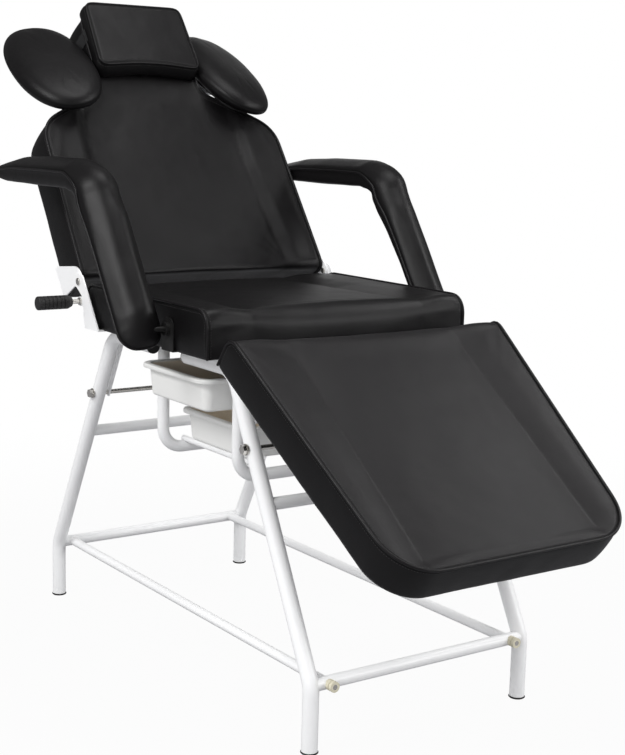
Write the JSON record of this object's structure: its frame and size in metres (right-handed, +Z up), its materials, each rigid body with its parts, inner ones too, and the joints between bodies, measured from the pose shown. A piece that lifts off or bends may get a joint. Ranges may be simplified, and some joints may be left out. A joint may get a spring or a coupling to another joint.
{
  "type": "reclining treatment chair",
  "caption": "Black padded reclining chair with back, seat and leg rest on a white tube frame, turning arm rests, ear pads, neck pillow and pull-out trays.",
  "frame": {"origin": "on the floor, on the middle plane of the chair, half way between its head and foot ends as it stands", "axes": "+X towards the foot end, +Y to the sitter's left side, +Z up"},
  "size_m": [1.5191, 0.8255, 1.3655],
  "materials": {
    "painted_frame": "glossy white powder coat",
    "nickel_fasteners": "bright nickel plate",
    "black_steel": "black oxide steel",
    "zinc_steel": "zinc plated steel",
    "black_upholstery": "soft sheen black synthetic leather over foam",
    "strap_webbing": "woven black elastic",
    "plywood": "plywood under black backing cloth",
    "white_tray_plastic": "moulded white plastic",
    "black_rubber": "matt black rubber",
    "black_plastic": "black plastic",
    "cream_rubber": "cream rubber"
  },
  "bodies": {
    "frame": {"armrest_bolts": "nickel_fasteners", "armrest_brackets": "black_steel", "armrest_spacers": "black_steel", "back_pivot_rivets": "nickel_fasteners", "bumper_screws": "nickel_fasteners", "cross_bumpers": "cream_rubber", "foot_glides": "black_rubber", "front_leg_far": "painted_frame", "front_leg_near": "painted_frame", "hinge_plate_far": "painted_frame", "hinge_plate_near": "painted_frame", "legrest_hinge_pins": "nickel_fasteners", "legrest_lugs": "painted_frame", "lower_cross_tubes": "painted_frame", "lower_tray_runners": "painted_frame", "rail_end_plugs": "black_plastic", "rail_saddles": "painted_frame", "rear_leg_braces": "painted_frame", "rear_leg_far": "painted_frame", "rear_leg_near": "painted_frame", "seat_board": "plywood", "seat_cushion": "black_upholstery", "side_rails": "painted_frame", "tie_rod_cap_nuts": "nickel_fasteners", "tie_rod_washers": "nickel_fasteners", "tie_rods": "painted_frame", "tray_hanger_front": "painted_frame", "tray_hanger_rear": "painted_frame", "upper_cross_tubes": "painted_frame", "upper_tray_runners": "painted_frame"},
    "backrest": {"back_board": "plywood", "back_cushion": "black_upholstery", "ear_rod_tube": "zinc_steel", "back_arm_near": "painted_frame", "back_arm_far": "painted_frame", "ratchet_sector": "black_steel"},
    "pillow": {"headrest_pillow": "black_upholstery", "pillow_strap": "strap_webbing"},
    "ear_slider_near": {"ear_rod_near": "zinc_steel"},
    "ear_slider_far": {"ear_rod_far": "zinc_steel"},
    "ear_pad_near": {"ear_pad_board_near": "plywood", "ear_pad_cushion_near": "black_upholstery", "ear_pad_bracket_near": "zinc_steel"},
    "ear_pad_far": {"ear_pad_board_far": "plywood", "ear_pad_cushion_far": "black_upholstery", "ear_pad_bracket_far": "zinc_steel"},
    "legrest": {"leg_board": "plywood", "leg_cushion": "black_upholstery", "legrest_arms": "painted_frame", "prop_bracket": "zinc_steel", "prop_pin": "nickel_fasteners"},
    "prop_bar": {"legrest_ratchet_bar": "zinc_steel"},
    "prop_guide": {"legrest_bar_guide": "zinc_steel"},
    "arm_near": {"armrest_near": "black_upholstery"},
    "arm_far": {"armrest_far": "black_upholstery"},
    "tray_upper": {"upper_tray": "white_tray_plastic"},
    "tray_lower": {"lower_tray": "white_tray_plastic"},
    "lever": {"release_shaft": "nickel_fasteners", "release_grip": "black_rubber"}
  },
  "joints": [
    {"name": "back_recline", "type": "hinge", "parent": "frame", "child": "backrest", "pos_m": [-0.3, 0, 0.768], "axis": [0, 1, 0], "range_deg": [-55.7, 12]},
    {"name": "legrest_tilt", "type": "hinge", "parent": "frame", "child": "legrest", "pos_m": [0.217, 0, 0.6537], "axis": [0, 1, 0], "range_deg": [-35.9, 12]},
    {"name": "prop_guide_turn", "type": "hinge", "parent": "frame", "child": "prop_guide", "pos_m": [0.28376, 0, 0.517], "axis": [0, 1, 0], "range_deg": [-18, 6.1]},
    {"name": "prop_bar_turn", "type": "hinge", "parent": "legrest", "child": "prop_bar", "pos_m": [0.35511, 0, 0.5899], "axis": [0, 1, 0], "range_deg": [-6.1, 18]},
    {"name": "armrest_near_swing", "type": "hinge", "parent": "frame", "child": "arm_near", "pos_m": [0.07083, 0, 0.7161], "axis": [0, 1, 0], "range_deg": [-30, 0]},
    {"name": "armrest_far_swing", "type": "hinge", "parent": "frame", "child": "arm_far", "pos_m": [0.07083, 0, 0.7161], "axis": [0, 1, 0], "range_deg": [-30, 0]},
    {"name": "pillow_slide", "type": "slide", "parent": "backrest", "child": "pillow", "axis": [0.5635, 0, -0.8261], "range_m": [0, 0.06]},
    {"name": "ear_near_slide", "type": "slide", "parent": "backrest", "child": "ear_slider_near", "axis": [0, -1, 0], "range_m": [0, 0.08]},
    {"name": "ear_far_slide", "type": "slide", "parent": "backrest", "child": "ear_slider_far", "axis": [0, 1, 0], "range_m": [0, 0.08]},
    {"name": "ear_near_pitch", "type": "hinge", "parent": "ear_slider_near", "child": "ear_pad_near", "pos_m": [-0.64755, 0, 1.17794], "axis": [0, 1, 0], "range_deg": [-45, 0]},
    {"name": "ear_far_pitch", "type": "hinge", "parent": "ear_slider_far", "child": "ear_pad_far", "pos_m": [-0.64755, 0, 1.17794], "axis": [0, 1, 0], "range_deg": [-45, 0]},
    {"name": "upper_tray_slide", "type": "slide", "parent": "frame", "child": "tray_upper", "axis": [0, -1, 0], "range_m": [-0.096, 0.034]},
    {"name": "lower_tray_slide", "type": "slide", "parent": "frame", "child": "tray_lower", "axis": [0, -1, 0], "range_m": [-0.12, 0.12]},
    {"name": "lever_twist", "type": "hinge", "parent": "frame", "child": "lever", "pos_m": [-0.291, 0, 0.7275], "axis": [0, 1, 0], "range_deg": [0, 25], "stiffness_Nm_per_rad": 1.2}
  ],
  "couplings": [
    {"joint": "prop_guide_turn", "follows": "legrest_tilt", "ratio": 0.5},
    {"joint": "prop_bar_turn", "follows": "legrest_tilt", "ratio": -0.5}
  ]
}
